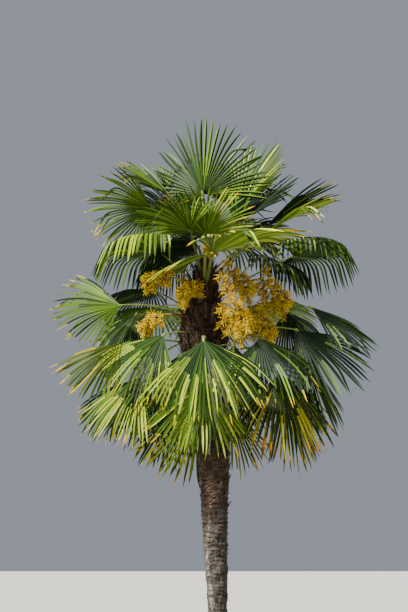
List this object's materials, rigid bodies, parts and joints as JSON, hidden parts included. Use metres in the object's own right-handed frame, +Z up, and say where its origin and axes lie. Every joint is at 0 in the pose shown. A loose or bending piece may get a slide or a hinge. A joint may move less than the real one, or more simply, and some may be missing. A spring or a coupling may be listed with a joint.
{
  "type": "fan palm tree",
  "caption": "Fan palm with a rough, slightly leaning trunk, a fibrous head, deeply cut fan leaves on long stalks and hanging yellow flower panicles.",
  "frame": {"origin": "middle of the trunk's flat cut at ground level", "axes": "+Z up along the trunk, -Y towards the side seen in the picture, +X to its right"},
  "size_m": [2.7304, 2.4235, 5.3285],
  "materials": {
    "bark": "rough, fibrous",
    "leaf": "satin",
    "flower": "matt"
  },
  "bodies": {
    "root": {"trunk": "bark", "leaf_01": "leaf", "leaf_02": "leaf", "leaf_03": "leaf", "leaf_04": "leaf", "leaf_05": "leaf", "leaf_06": "leaf", "leaf_07": "leaf", "leaf_08": "leaf", "leaf_09": "leaf", "leaf_10": "leaf", "leaf_11": "leaf", "leaf_12": "leaf", "leaf_13": "leaf", "leaf_14": "leaf", "leaf_15": "leaf", "leaf_16": "leaf", "leaf_17": "leaf", "leaf_18": "leaf", "leaf_19": "leaf", "leaf_20": "leaf", "leaf_21": "leaf", "leaf_22": "leaf", "leaf_23": "leaf", "leaf_24": "leaf", "leaf_25": "leaf", "leaf_26": "leaf", "leaf_27": "leaf", "leaf_28": "leaf", "leaf_29": "leaf", "leaf_30": "leaf", "leaf_31": "leaf", "leaf_32": "leaf", "leaf_33": "leaf", "leaf_34": "leaf", "leaf_35": "leaf", "leaf_36": "leaf", "leaf_37": "leaf", "leaf_38": "leaf", "leaf_39": "leaf", "leaf_40": "leaf", "leaf_41": "leaf", "leaf_42": "leaf", "leaf_43": "leaf", "leaf_44": "leaf", "leaf_45": "leaf", "leaf_46": "leaf", "leaf_47": "leaf", "leaf_48": "leaf", "leaf_49": "leaf", "leaf_50": "leaf", "leaf_51": "leaf", "panicle_1": "flower", "panicle_2": "flower", "panicle_3": "flower", "panicle_4": "flower", "panicle_5": "flower", "panicle_6": "flower", "panicle_7": "flower", "panicle_8": "flower"}
  },
  "joints": []
}
